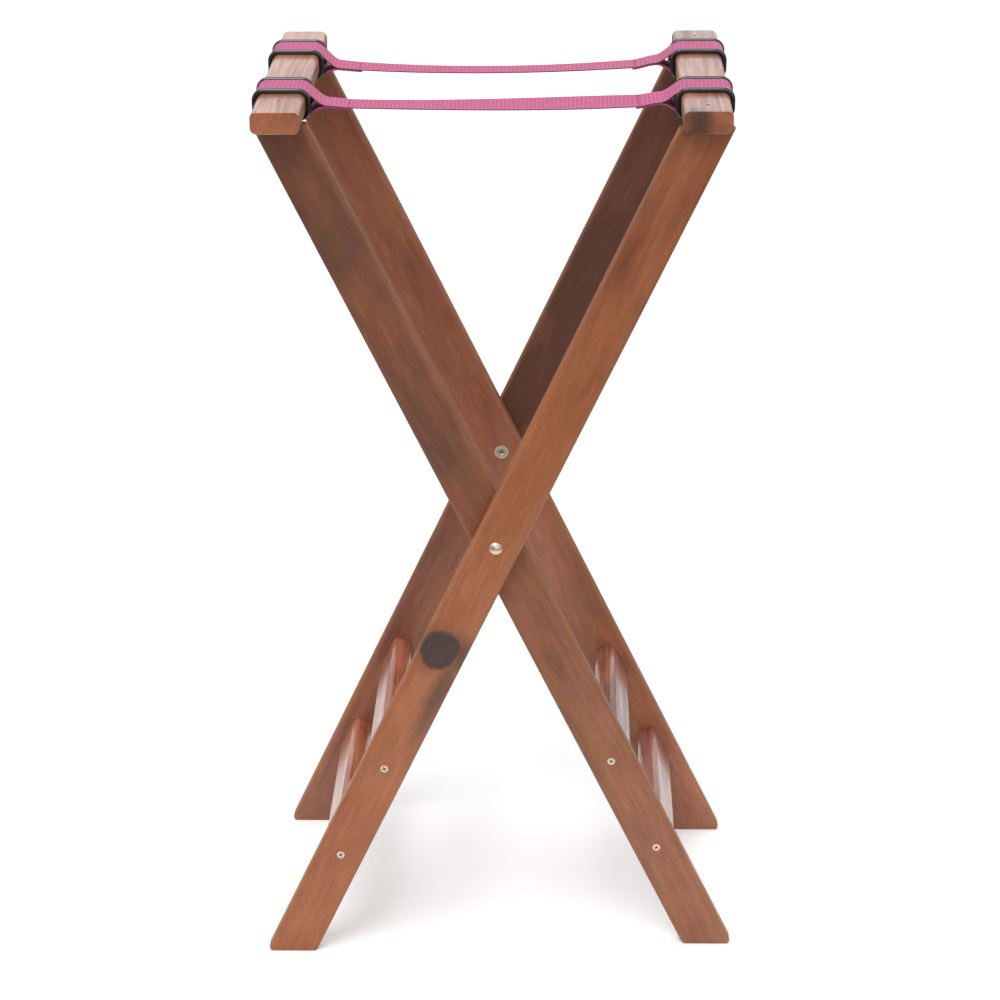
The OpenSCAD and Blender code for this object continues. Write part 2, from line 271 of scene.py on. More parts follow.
def timber_figure() -> bpy.types.NodeTree:
    """Build stained timber: clouds of tone, yellow and smoky patches, fibre, pores and painted edge
    highlights.

    Returns:
        The group. Its vector is in the board's own axes, with Z along the grain.
    """
    g, given, made = shared_effect(
        "timber_figure",
        {"Vector": "Vector", "Facing": "Vector", "Shift": "Vector", "Half Width": "Float",
         "Deep": "Color", "Middle": "Color", "Bright": "Color", "Warm": "Color", "Smoke": "Color",
         "Warm Share": "Float", "Smoke Share": "Float", "Contrast": "Float", "Streaks": "Float"},
        {"Color": "Color", "Roughness": "Float", "Gloss": "Float", "Height": "Float"})
    place = g.vector("ADD", given["Vector"], given["Shift"])
    wander = g.noise(place, (9, 9, 2.5), 2.0, output="Color")
    drift = g.vector("MULTIPLY", g.vector("SUBTRACT", wander, (0.5, 0.5, 0.5)), (0.022, 0.022, 0.0))
    bent = g.vector("ADD", place, drift)
    _, _, end = g.split(g.vector("ABSOLUTE", given["Facing"]))
    end = g.ease(end, 0.6, 0.85)
    side = g.ease(end, 0.0, 1.0, 1.0, 0.3)
    broad = g.noise(place, (11, 11, 3.2), 4.0, 0.6)
    mottle = g.noise(bent, (52, 52, 17), 4.0, 0.62)
    streak = g.noise(bent, (190, 190, 5.5), 3.0, 0.6)
    cloud = g.noise(bent, (20, 20, 4.5), 3.0, 0.55)
    smoke = g.noise(g.vector("ADD", bent, (3.1, 5.7, 1.3)), (15, 15, 5.0), 3.0, 0.6)
    dash = g.noise(bent, (430, 430, 24), 2.0, 0.55)
    fibre = g.noise(place, (1000, 1000, 45), 2.0)
    pore = g.noise(place, (1500, 1500, 90), 1.0)

    level = g.math("MULTIPLY", g.math("SUBTRACT", broad, 0.5), 1.5)
    level = g.math("MULTIPLY_ADD", g.math("SUBTRACT", mottle, 0.5), 0.55, level)
    lines = g.math("MULTIPLY", g.math("SUBTRACT", streak, 0.5), g.math("MULTIPLY", given["Streaks"], side))
    level = g.math("MULTIPLY", g.math("ADD", level, lines), given["Contrast"])
    colour = g.mix(g.ease(level, -0.30, 0.02), given["Deep"], given["Middle"])
    colour = g.mix(g.ease(level, -0.02, 0.30), colour, given["Bright"])
    warm = g.math("MULTIPLY", g.ease(cloud, 0.44, 0.66), given["Warm Share"], clamp=True)
    colour = g.mix(warm, colour, given["Warm"])
    blanket = g.math("MAXIMUM", g.math("SUBTRACT", given["Smoke Share"], 1.0), 0.0)
    smoky = g.math("MULTIPLY_ADD", g.ease(smoke, 0.42, 0.70), given["Smoke Share"], blanket, clamp=True)
    colour = g.mix(smoky, colour, given["Smoke"])
    across, _, _ = g.split(given["Vector"])
    rim = g.math("SUBTRACT", given["Half Width"], g.math("ABSOLUTE", across))
    # Painted highlight: a lighter, warmer band along the board's edges, where their rounding catches light;
    # the same band is also rougher and less glossy.
    worn = g.math("MULTIPLY", g.ease(rim, 0.0035, 0.0005), g.ease(mottle, 0.35, 0.6, 0.25, 0.8))
    worn = g.math("MULTIPLY", worn, g.ease(end, 0.0, 1.0, 1.0, 0.0))
    colour = g.mix(g.math("MULTIPLY", worn, 0.6), colour, given["Warm"])
    pores = g.ease(pore, 0.64, 0.76)
    grain = g.math("MULTIPLY", g.ease(fibre, 0.3, 0.7, 0.93, 1.07), g.ease(dash, 0.3, 0.62, 1.05, 0.90))
    colour = g.dim(colour, g.math("MULTIPLY_ADD", pores, -0.2, grain))
    g.feed(made["Color"], g.mix(end, colour, g.mix(1.0, colour, END_GRAIN, "MULTIPLY")))
    g.feed(made["Roughness"], g.math("MULTIPLY_ADD", worn, 0.3, g.math("MULTIPLY_ADD", streak, 0.3, -0.15)))
    shine = g.math("MULTIPLY", g.ease(streak, 0.36, 0.62, 0.45, 1.2), g.ease(dash, 0.35, 0.6, 1.1, 0.8))
    g.feed(made["Gloss"], g.math("MULTIPLY", shine, g.math("SUBTRACT", 1.0, worn)))
    ridges = g.math("MULTIPLY_ADD", pores, -0.6, g.math("MULTIPLY", fibre, 0.5))
    g.feed(made["Height"], g.math("MULTIPLY_ADD", streak, 3.0, ridges))
    return g.tree


def knot_figure() -> bpy.types.NodeTree:
    """Build a dark knot in a board, with smoky smears beside it along the grain.

    Returns:
        The group. Its vector is in the same axes as the timber figure's.
    """
    g, given, made = shared_effect(
        "knot_figure",
        {"Color": "Color", "Vector": "Vector", "Centre": "Vector", "Radius": "Float",
         "Heart": "Color", "Strength": "Float", "Smear": "Float", "Softness": "Float"},
        {"Color": "Color"})
    ragged = g.noise(given["Vector"], (70, 70, 45), 4.0, 0.6, output="Color")
    shake = g.vector("MULTIPLY", g.vector("SUBTRACT", ragged, (0.5, 0.5, 0.5)), (0.009, 0.0, 0.012))
    away = g.vector("SUBTRACT", g.vector("ADD", given["Vector"], shake), given["Centre"])
    away = g.vector("MULTIPLY", away, (1.0, 0.35, 1.0))

    def reach(shift: Sequence[float], squeeze: Sequence[float]) -> Socket:
        """Return the distance from a place by the knot, over the knot's radius."""
        offset = g.vector("MULTIPLY", g.vector("SUBTRACT", away, shift), squeeze)
        return g.math("DIVIDE", g.vector("LENGTH", offset, result="Value"), given["Radius"])

    core = reach((0, 0, 0), (1, 1, 0.96))
    below = reach((0.019, 0, -0.052), (1.9, 1, 0.30))
    beside = reach((0.020, 0, 0.002), (0.9, 1, 0.75))
    edge = g.math("ADD", given["Softness"], 1.0)
    solid = g.ease(core, edge, g.math("SUBTRACT", 1.0, given["Softness"]))
    veil = g.math("MAXIMUM", solid, g.ease(core, 1.8, 0.9, 0.0, 0.3))
    smear = g.math("MAXIMUM", g.ease(below, 1.4, 0.2, 0.0, 0.7), g.ease(beside, 1.25, 0.2, 0.0, 0.75))
    veil = g.math("MAXIMUM", veil, g.math("MULTIPLY", smear, given["Smear"]))
    veil = g.math("MULTIPLY", veil, given["Strength"], clamp=True)
    arcs = g.noise(g.vector("MULTIPLY_ADD", away, (220, 0, 60), g.join(core, 0.0, 0.0)), (1, 1, 1), 3.0)
    heart = g.mix(g.ease(arcs, 0.4, 0.7, 0.0, 0.06), given["Heart"], given["Color"])
    g.feed(made["Color"], g.mix(veil, given["Color"], heart))
    return g.tree


def handling_marks() -> bpy.types.NodeTree:
    """Build the dull patches and fine scuffs that metal, rubber and webbing pick up.

    Returns:
        The group. Its roughness adds to a finish's own and its shade multiplies it.
    """
    g, given, made = shared_effect(
        "handling_marks", {"Vector": "Vector", "Amount": "Float"},
        {"Roughness": "Float", "Shade": "Float", "Height": "Float"})
    patch = g.noise(given["Vector"], (160, 160, 160), 3.0, 0.6)
    scuff = g.noise(given["Vector"], (2600, 900, 500), 2.0)
    dull = g.math("ADD", g.ease(patch, 0.4, 0.7, 0.0, 0.16), g.ease(scuff, 0.5, 0.75, 0.0, 0.08))
    g.feed(made["Roughness"], g.math("MULTIPLY", dull, given["Amount"]))
    worn = g.math("MULTIPLY", g.ease(patch, 0.35, 0.75), given["Amount"])
    g.feed(made["Shade"], g.math("MULTIPLY_ADD", worn, -0.22, 1.0))
    g.feed(made["Height"], scuff)
    return g.tree


# -------------------------------------------------------------------- finishes


class SharedEffects:
    """The node groups that several finishes use, each built once."""

    def __init__(self) -> None:
        """Build the groups."""
        self.timber = timber_figure()
        self.knot = knot_figure()
        self.marks = handling_marks()


EFFECTS = SharedEffects()


class Lie(Enum):
    """How a board lies: the turn, in degrees, that stands its grain upright."""

    OUTER_LEG = (0.0, -LEG_LEAN, 0.0)
    INNER_LEG = (0.0, LEG_LEAN, 0.0)
    ALONG_DEPTH = (90.0, 0.0, 0.0)


def new_finish(name: str) -> tuple[bpy.types.Material, NodeGraph, bpy.types.Node]:
    """Start a material.

    Args:
        name: The material's name.

    Returns:
        The material, its graph and its Principled shader.
    """
    material = bpy.data.materials.new(name)
    material.use_nodes = True
    return material, NodeGraph(material.node_tree), material.node_tree.nodes["Principled BSDF"]


def add_bump(g: NodeGraph, shader: bpy.types.Node, height: Feed, depth: float, strength: float) -> None:
    """Raise a surface's fine relief.

    Args:
        g: The material's graph.
        shader: Its Principled shader.
        height: The relief, from 0 to about 1.
        depth: The relief's full height.
        strength: How much of it shows.
    """
    bump = g.add("Bump")
    bump.inputs["Strength"].default_value = strength
    bump.inputs["Distance"].default_value = depth
    g.feed(bump.inputs["Height"], height)
    g.feed(shader.inputs["Normal"], bump.outputs["Normal"])


def set_constants(shader: bpy.types.Node, **values: Feed) -> None:
    """Set sockets of a shader that are the same all over, by name with _ for a space."""
    for name, value in values.items():
        shader.inputs[name.replace("_", " ")].default_value = value


@dataclass(frozen=True)
class Knot:
    """A knot or a stain in a board, in the board's own axes."""

    centre: tuple[float, float, float]
    radius: float
    heart: Colour = tone(64, 50, 46)
    strength: float = 0.97
    smear: float = 1.0
    softness: float = 0.2


@dataclass(frozen=True)
class StainedWood:
    """Stained wood under varnish, cut from its own place in the timber."""

    name: str
    lie: Lie
    anchor: Vector
    shift: tuple[float, float, float]
    half_width: float
    deep: Colour
    middle: Colour
    bright: Colour
    warm: Colour = tone(160, 102, 58)
    smoke: Colour = tone(92, 62, 50)
    warm_share: float = 0.35
    smoke_share: float = 0.3
    contrast: float = 1.0
    streaks: float = 0.35
    varnish: float = 0.15
    gathers: tuple[float, float] = (-2.0, -1.0)
    gathered_share: float | None = None
    knots: tuple[Knot, ...] = ()

    def material(self) -> bpy.types.Material:
        """Build the finish.

        Returns:
            The material.
        """
        material, g, shader = new_finish(self.name)
        turn = Euler([math.radians(a) for a in self.lie.value])
        surface = g.add("TexCoord").outputs
        board = g.add("Mapping")
        g.feed(board.inputs["Vector"], surface["Object"])
        board.inputs["Rotation"].default_value = turn
        board.inputs["Location"].default_value = -(turn.to_matrix() @ self.anchor)
        facing = g.add("Mapping", vector_type="VECTOR")
        g.feed(facing.inputs["Vector"], surface["Normal"])
        facing.inputs["Rotation"].default_value = turn
        place = board.outputs["Vector"]
        _, _, along = g.split(place)
        # Between the two heights of gathers the smoke share eases to gathered_share, so the board grows
        # darker towards one end.
        full_share = self.smoke_share if self.gathered_share is None else self.gathered_share
        smoke_share = g.ease(along, *self.gathers, self.smoke_share, full_share)
        timber = g.effect(EFFECTS.timber, Vector=place, Facing=facing.outputs["Vector"],
                          Shift=self.shift, Half_Width=self.half_width, Deep=self.deep,
                          Middle=self.middle, Bright=self.bright, Warm=self.warm, Smoke=self.smoke,
                          Warm_Share=self.warm_share, Smoke_Share=smoke_share,
                          Contrast=self.contrast, Streaks=self.streaks)
        colour = timber.outputs["Color"]
        for knot in self.knots:
            colour = g.effect(EFFECTS.knot, Color=colour, Vector=place, Centre=knot.centre,
                              Radius=knot.radius, Heart=knot.heart, Strength=knot.strength,
                              Smear=knot.smear, Softness=knot.softness).outputs["Color"]
        g.feed(shader.inputs["Base Color"], colour)
        g.feed(shader.inputs["Roughness"], g.math("ADD", timber.outputs["Roughness"], 0.34))
        g.feed(shader.inputs["Coat Weight"], g.math("MULTIPLY", timber.outputs["Gloss"], self.varnish))
        set_constants(shader, IOR=1.42, Coat_Roughness=0.16, Coat_IOR=1.45)
        add_bump(g, shader, timber.outputs["Height"], 0.00012, 0.5)
        return material


@dataclass(frozen=True)
class PlatedMetal:
    """Plated steel with faint handling marks, duller nearer the stand's middle than a depth, where a second
    colour paints shade into hollows.
    """

    name: str
    colour: Colour
    roughness: float
    marks: float = 0.5
    dull_and_shade_depth: float = 0.0
    dull_tone_and_painted_shade: Colour = tone(70, 60, 52)
    dull_roughness: float = 0.6
    dull_and_shade_edge: float = 0.0003

    def material(self) -> bpy.types.Material:
        """Build the finish.

        Returns:
            The material.
        """
        material, g, shader = new_finish(self.name)
        place = g.add("TexCoord").outputs["Object"]
        marks = g.effect(EFFECTS.marks, Vector=place, Amount=self.marks)
        _, depth, _ = g.split(g.vector("ABSOLUTE", place))
        # Painted shade: nearer the middle than the depth, as in a screw's cross recess, the metal takes the
        # darker second colour.
        dull = g.ease(depth, self.dull_and_shade_depth, self.dull_and_shade_depth - self.dull_and_shade_edge)
        colour = g.mix(dull, self.colour, self.dull_tone_and_painted_shade)
        g.feed(shader.inputs["Base Color"], g.dim(colour, marks.outputs["Shade"]))
        rough = g.ease(dull, 0.0, 1.0, self.roughness, self.dull_roughness)
        g.feed(shader.inputs["Roughness"], g.math("ADD", marks.outputs["Roughness"], rough))
        set_constants(shader, Metallic=1.0)
        add_bump(g, shader, marks.outputs["Height"], 0.00002, 0.3)
        return material


@dataclass(frozen=True)
class MouldedRubber:
    """Black moulded rubber with a soft gloss."""

    name: str
    colour: Colour
    roughness: float

    def material(self) -> bpy.types.Material:
        """Build the finish.

        Returns:
            The material.
        """
        material, g, shader = new_finish(self.name)
        place = g.add("TexCoord").outputs["Object"]
        marks = g.effect(EFFECTS.marks, Vector=place, Amount=0.2)
        g.feed(shader.inputs["Base Color"], g.dim(self.colour, marks.outputs["Shade"]))
        g.feed(shader.inputs["Roughness"], g.math("ADD", marks.outputs["Roughness"], self.roughness))
        set_constants(shader, IOR=1.58, Coat_Weight=0.6, Coat_Roughness=0.2,
                      Coat_Tint=(0.92, 0.88, 0.95, 1.0))
        add_bump(g, shader, g.noise(place, (900, 900, 900), 2.0), 0.00004, 0.15)
        return material


@dataclass(frozen=True)
class WovenWebbing:
    """Flat webbing with a raised bar across it at every rib and fine picks between, with painted highlights
    on bars and selvedges and painted shade along its edges.
    """

    name: str
    colour: Colour
    shadow: Colour
    # Colour of the painted highlight on rib crowns and selvedges, also used for random light flecks
    crown: Colour
    # Colour of the painted shade along the webbing's edges
    edge: Colour
    rib_pitch: float
    half_width: float
    picks_per_rib: int = 3
    yarn_pitch: float = 0.0013

    def material(self) -> bpy.types.Material:
        """Build the finish. Its map gives the place along and across the webbing.

        Returns:
            The material.
        """
        material, g, shader = new_finish(self.name)
        cloth = g.add("UVMap", uv_map="weave").outputs["UV"]
        along, across, _ = g.split(cloth)
        rib = g.math("COSINE", g.math("MULTIPLY", along, math.tau / self.rib_pitch))
        bar = g.ease(rib, 0.66, 1.0)
        pick_turn = g.math("MULTIPLY", along, math.tau * self.picks_per_rib / self.rib_pitch)
        pick = g.math("MULTIPLY_ADD", g.math("COSINE", pick_turn), 0.5, 0.5)
        yarn_turn = g.math("MULTIPLY", across, math.tau / self.yarn_pitch)
        yarn = g.math("MULTIPLY_ADD", g.math("COSINE", yarn_turn), 0.5, 0.5)
        over = g.math("ABSOLUTE", g.math("SUBTRACT", pick, yarn))
        side = g.math("DIVIDE", g.math("ABSOLUTE", across), self.half_width)
        selvedge_highlight = g.ease(side, 0.88, 0.95)
        rim = g.ease(side, 0.968, 0.992)
        cloud = g.noise(cloth, (70, 160, 1), 3.0, 0.6)
        fuzz = g.noise(cloth, (1500, 2600, 1), 2.0)
        speck = g.noise(cloth, (620, 900, 1), 2.0, 0.6)
        colour = g.mix(g.ease(over, 0.0, 0.8, 0.4, 0.0), self.colour, self.shadow)
        # Painted highlight on each rib's raised bar
        colour = g.mix(g.math("MULTIPLY", bar, 0.4), colour, self.crown)
        colour = g.mix(g.ease(speck, 0.55, 0.75, 0.0, 0.3), colour, self.crown)
        # Painted highlight along the selvedges
        colour = g.mix(g.math("MULTIPLY", selvedge_highlight, 0.3), colour, self.crown)
        # Painted shade along the very edges
        colour = g.mix(g.math("MULTIPLY", rim, 0.85), colour, self.edge)
        shade = g.math("MULTIPLY", g.ease(cloud, 0.3, 0.7, 0.93, 1.05), g.ease(speck, 0.3, 0.7, 0.92, 1.07))
        marks = g.effect(EFFECTS.marks, Vector=cloth, Amount=0.25)
        g.feed(shader.inputs["Base Color"], g.dim(colour, g.math("MULTIPLY", shade, marks.outputs["Shade"])))
        set_constants(shader, Roughness=0.72, Sheen_Weight=0.2, Sheen_Roughness=0.5,
                      Sheen_Tint=(*self.crown, 1.0))
        height = g.math("ADD", g.math("MULTIPLY", over, 0.7), g.math("MULTIPLY", fuzz, 0.3))
        add_bump(g, shader, g.math("ADD", height, g.math("MULTIPLY", bar, 0.5)), 0.00018, 0.8)
        return material


@dataclass(frozen=True)
class SewingThread:
    """Twisted thread in a darker shade than the webbing."""

    name: str
    colour: Colour

    def material(self) -> bpy.types.Material:
        """Build the finish.

        Returns:
            The material.
        """
        material, g, shader = new_finish(self.name)
        place = g.add("TexCoord").outputs["Object"]
        twist = g.noise(place, (3200, 1400, 3200), 1.0)
        g.feed(shader.inputs["Base Color"], g.dim(self.colour, g.ease(twist, 0.3, 0.7, 0.75, 1.15)))
        set_constants(shader, Roughness=0.6, Sheen_Weight=0.2)
        add_bump(g, shader, twist, 0.00008, 0.5)
        return material


# ---------------------------------------------------------------- sub-assemblies


@dataclass
class PackedParts:
    """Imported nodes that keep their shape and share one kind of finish."""

    label: str
    finishes: dict[str, StainedWood | PlatedMetal | MouldedRubber]

    def dress(self) -> None:
        """Give each node its finish."""
        built: dict[str, bpy.types.Material] = {}
        for node, finish in self.finishes.items():
            if finish.name not in built:
                built[finish.name] = finish.material()
            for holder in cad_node(node).material_slots:
                holder.material = built[finish.name]
            LOG.info("%s: %s wears %s", self.label, node, finish.name)


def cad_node(name: str) -> bpy.types.Object:
    """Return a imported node's object."""
    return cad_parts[name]


@dataclass
class WoodenFrames(PackedParts):
    """The two nested frames: legs, rails and stretchers."""

    label: str = "wooden frames"
    leg_width: float = 0.0505
    finishes: dict[str, StainedWood] = field(default_factory=dict)

    def __post_init__(self) -> None:
        """Choose each board's piece of timber."""
        pivot_z = middle("front_pivot_rivet").z
        rail_low, rail_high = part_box("right_rail")

        def leg(node: str, lie: Lie, index: int, colours: Sequence[Colour], **more: object) -> None:
            """Choose a leg's timber, anchored where the pivot crosses it."""
            anchor = Vector((0.0, middle(node).y, pivot_z))
            self.finishes[node] = StainedWood(
                f"{node}_wood", lie, anchor, (0.37 * index, 0.23 * index, 1.7 * index),
                self.leg_width / 2, *colours, **more)

        def bar(node: str, index: int, width: float, colours: Sequence[Colour], **more: object) -> None:
            """Choose the timber of a board that runs from front to rear."""
            self.finishes[node] = StainedWood(
                f"{node}_wood", Lie.ALONG_DEPTH, middle(node),
                (0.41 * index, 0.29 * index, 1.3 * index), width / 2, *colours, **more)

        leg("outer_front_leg", Lie.OUTER_LEG, 1,
            (tone(142, 79, 50), tone(161, 96, 62), tone(174, 109, 72)),
            warm=tone(170, 108, 66), warm_share=0.4, smoke=tone(104, 60, 42), smoke_share=0.06,
            contrast=0.8, streaks=0.25, gathers=(0.14, 0.42), gathered_share=1.1,
            knots=(Knot((-0.004, -0.009, -0.132), 0.0226),))
        leg("inner_front_leg", Lie.INNER_LEG, 2,
            (tone(116, 70, 52), tone(141, 86, 62), tone(156, 99, 70)),
            warm=tone(154, 101, 58), warm_share=0.5, smoke=tone(94, 62, 50), smoke_share=0.2,
            contrast=1.0, gathers=(-0.12, 0.12), gathered_share=0.6,
            knots=(Knot((-0.014, -0.009, 0.112), 0.02, tone(88, 66, 56), 0.45, 0.6, 0.4),
                   Knot((-0.006, -0.009, 0.36), 0.024, tone(84, 60, 50), 0.4, 0.7, 0.4)))
        leg("outer_rear_leg", Lie.OUTER_LEG, 3,
            (tone(104, 62, 48), tone(132, 82, 62), tone(150, 97, 72)),
            smoke=tone(96, 59, 47), smoke_share=0.2, contrast=1.0, streaks=0.5,
            gathers=(-0.18, 0.06), gathered_share=1.7)
        leg("inner_rear_leg", Lie.INNER_LEG, 4,
            (tone(130, 77, 55), tone(152, 92, 67), tone(166, 107, 80)),
            smoke_share=0.25, contrast=1.0)
        width = rail_high.x - rail_low.x
        bar("right_rail", 5, width, (tone(138, 88, 70), tone(166, 112, 90), tone(184, 128, 104)),
            warm=tone(178, 116, 76), smoke=tone(96, 62, 54), smoke_share=0.35, contrast=1.4,
            streaks=0.9, varnish=0.9, gathers=(-0.04, 0.15), gathered_share=1.25,
            knots=(Knot((-0.010, 0.0, -0.171), 0.012, tone(62, 42, 34), 0.85, 0.15, 0.65),))
        bar("left_rail", 6, width, (tone(146, 96, 76), tone(172, 116, 94), tone(188, 132, 108)),
            warm=tone(176, 116, 76), smoke_share=0.2, contrast=1.2, streaks=0.9, varnish=0.9)
        reds = (tone(136, 68, 46), tone(166, 92, 66), tone(188, 116, 92))
        plums = (tone(96, 52, 44), tone(128, 74, 62), tone(166, 108, 96))
        for index, (node, colours) in enumerate(
                (("outer_upper_stretcher", reds), ("outer_lower_stretcher", reds),
                 ("inner_upper_stretcher", plums), ("inner_lower_stretcher", plums)), 7):
            bar(node, index, self.leg_width, colours, contrast=1.2, streaks=1.2, varnish=0.8)


@dataclass
class MetalFittings(PackedParts):
    """Pivot rivets, their washers and spacers, stretcher screws and rail nails."""

    label: str = "metal fittings"
    rolled_thickness: float = 0.0012
    head_skin: float = 0.00025
    finishes: dict[str, PlatedMetal] = field(default_factory=dict)

    def __post_init__(self) -> None:
        """Choose each fitting's plating."""
        inner_end = abs(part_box("front_pivot_rivet")[1].y)
        # The rivet's pink-beige is nickel with a painted reflection of the wood; its rolled inner end is
        # greyer and duller, partly its own tone and partly painted shade in its hollow.
        rivet = PlatedMetal("rivet_nickel_and_painted_reflection", tone(228, 204, 188), 0.3, 0.3,
                            inner_end + self.rolled_thickness, tone(186, 186, 168), 0.42)
        washer = PlatedMetal("washer_plating", tone(226, 212, 186), 0.36)
        nail = PlatedMetal("nail_steel", tone(88, 70, 62), 0.5, 1.0)
        for side in ("front", "rear"):
            self.finishes[f"{side}_pivot_rivet"] = rivet
            self.finishes[f"{side}_pivot_washer"] = washer
            self.finishes[f"{side}_pivot_spacer"] = washer
        for owner in ("outer", "inner"):
            screws = f"{owner}_stretcher_screws"
            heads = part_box(screws)[1].y
            # Below the heads' skin the screws take a dark second colour, painted shade in their cross
            # recesses.
            self.finishes[screws] = PlatedMetal(f"{owner}_screw_zinc", tone(222, 202, 188), 0.28, 0.4,
                                                heads - self.head_skin, tone(112, 92, 84))
        for rail in ("right", "left"):
            self.finishes[f"{rail}_rail_nails"] = nail


@dataclass
class StrapSleeves(PackedParts):
    """The moulded sleeves that keep the straps in place on the rails."""

    label: str = "strap sleeves"
    finishes: dict[str, MouldedRubber] = field(default_factory=dict)

    def __post_init__(self) -> None:
        """Give all four sleeves the same rubber."""
        rubber = MouldedRubber("sleeve_rubber", tone(20, 17, 20), 0.22)
        for side in ("right", "left"):
            for end in ("front", "rear"):
                self.finishes[f"{side}_{end}_strap_sleeve"] = rubber


@dataclass
class WebbingStrap:
    """A strap that loops round both rails, with its ends sewn under its span."""

    node: str
    sag: float
    skew: float
    rises: tuple[float, float]
    tilt: float
    twist: float = 0.0
    rise_reach: float = 0.052
    thickness: float = 0.0016
    rail_round: float = 0.007
    span_drop: float = 0.003
    throat: float = 0.021
    overlap: float = 0.024
    tail_gap: float = 0.00008
    rib_pitch: float = RIB_PITCH
    rings_per_rib: int = 6
    rib_depth: float = 0.00016
    rib_fade: float = 0.0025
    curve_steps: int = 48
    tack_inset: float = 0.003
    tack_margin: float = 0.0025
    stitch_pairs: int = 15
    stitch_slant: float = 38.0
    stitch_radii: tuple[float, float, float] = (0.0011, 0.00034, 0.00026)
    stitch_lift: float = 0.00008

    def __post_init__(self) -> None:
        """Read the strap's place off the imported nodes."""
        low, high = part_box(self.node)
        rail_low, rail_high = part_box("right_rail")
        self.y = (low.y + high.y) / 2
        self.width = high.y - low.y
        self.lift = high.z - rail_high.z - self.thickness
        self.rail_x = (rail_low.x + rail_high.x) / 2
        self.rail_z = (rail_low.z + rail_high.z) / 2
        self.core_x = (rail_high.x - rail_low.x) / 2 - self.rail_round
        self.core_z = (rail_high.z - rail_low.z) / 2 - self.rail_round
        self.bend = self.rail_round + self.lift + self.thickness / 2
        self.sewn_x = rail_low.x - self.throat
        self.span_z = self.rail_z - self.span_drop
        self.taut_x = self.rail_x - self.core_x

    def slack(self, x: float, flatness: int = 2) -> float:
        """Return how much of the sag and tilt there is at a place across the stand."""
        return max(0.0, 1.0 - abs(x / self.taut_x) ** flatness)

    def drop(self, x: float) -> float:
        """Return how far the webbing hangs below a level span.

        Args:
            x: The place across the stand.

        Returns:
            The sag, less the lift of the sewn ends, with the left side lower by the skew.
        """
        inward = min(max((self.taut_x - abs(x)) / self.rise_reach, 0.0), 1.0)
        lift = self.rises[0 if x < 0 else 1] * (4 * inward * (1 - inward)) ** 2
        return self.sag * self.slack(x) - self.skew * x / self.taut_x * self.slack(x, 6) - lift

    def lean(self, x: float) -> float:
        """Return how far the webbing leans towards the front, in radians."""
        return math.radians(self.tilt + self.twist * x / self.taut_x) * self.slack(x)

    def half_route(self) -> list[Vector]:
        """Trace the right half of the webbing's middle line in X and Z.

        Returns:
            Points from the tail's tip, under and round the rail, to mid-span.
        """
        half = self.thickness / 2
        upper, lower = self.span_z + half, self.span_z - half - self.tail_gap
        steps = self.curve_steps

        def s_bend(x0: float, z0: float, x1: float, z1: float) -> list[Vector]:
            """Return an easy S between two level ends."""
            shares = [i / steps for i in range(steps + 1)]
            return [Vector((x0 + (x1 - x0) * s, 0, z0 + (z1 - z0) * (1 - math.cos(math.pi * s)) / 2))
                    for s in shares]

        def corner(z: float, start: float) -> list[Vector]:
            """Return a quarter turn round an outer corner of the rail."""
            turns = [math.radians(start + 90 * i / steps) for i in range(1, steps)]
            return [Vector((self.rail_x + self.core_x + self.bend * math.cos(a), 0,
                            z + self.bend * math.sin(a))) for a in turns]

        low_z, high_z = self.rail_z - self.core_z, self.rail_z + self.core_z
        outer = self.rail_x + self.core_x
        route = [Vector((self.sewn_x - self.overlap, 0, lower))]
        route += s_bend(self.sewn_x, lower, self.taut_x, low_z - self.bend)
        route += [Vector((outer, 0, low_z - self.bend)), *corner(low_z, -90.0),
                  Vector((outer + self.bend, 0, low_z)), Vector((outer + self.bend, 0, high_z)),
                  *corner(high_z, 0.0), Vector((outer, 0, high_z + self.bend))]
        route += s_bend(self.taut_x, high_z + self.bend, self.sewn_x, upper)
        return [*route, Vector((0, 0, upper))]

    def route(self, spacing: float) -> list[Vector]:
        """Trace the whole webbing with even steps and its sag.

        Args:
            spacing: The wanted length of a step.

        Returns:
            The middle line's points, from the right tail's tip to the left one's.
        """
        right = self.half_route()
        corners = right + [Vector((-p.x, 0, p.z)) for p in reversed(right[:-1])]
        reach = [0.0]
        for a, b in zip(corners, corners[1:]):
            reach.append(reach[-1] + (b - a).length)
        count = round(reach[-1] / spacing)
        points, leg = [], 0
        for i in range(count + 1):
            at = reach[-1] * i / count
            while leg < len(corners) - 2 and reach[leg + 1] < at:
                leg += 1
            share = (at - reach[leg]) / max(reach[leg + 1] - reach[leg], SHORTEST_STEP)
            point = corners[leg].lerp(corners[leg + 1], share)
            point.z -= self.drop(point.x)
            points.append(point)
        self.length = reach[-1]
        return points

    def stations(self, points: Sequence[Vector]) -> list[Matrix]:
        """Stand a cross-section's axes at each point: X across, Y out of it, Z along.

        Args:
            points: The middle line.

        Returns:
            One placing matrix for each point.
        """
        placed = []
        for i, point in enumerate(points):
            ahead = points[min(i + 1, len(points) - 1)] - points[max(i - 1, 0)]
            ahead.normalize()
            lean = self.lean(point.x)
            across = Vector((0, math.cos(lean), math.sin(lean)))
            out = ahead.cross(across).normalized()
            across = out.cross(ahead)
            turn = Matrix((across, out, ahead)).transposed().to_4x4()
            placed.append(Matrix.Translation(point + Vector((0, self.y, 0))) @ turn)
        return placed

    def section(self) -> list[tuple[float, float]]:
        """Return the webbing's cross-section, across and out, with rounded edges."""
        wide, thick = self.width / 2, self.thickness / 2
        edge = [(wide, 0.0), (wide - 0.00012, 0.55 * thick), (wide - 0.0005, 0.94 * thick)]
        face = [(wide * s, thick) for s in (0.92, 0.6, 0.2, -0.2, -0.6, -0.92)]
        top = edge + face + [(-x, z) for x, z in reversed(edge[1:])]
        return top + [(-x, -z) for x, z in top]

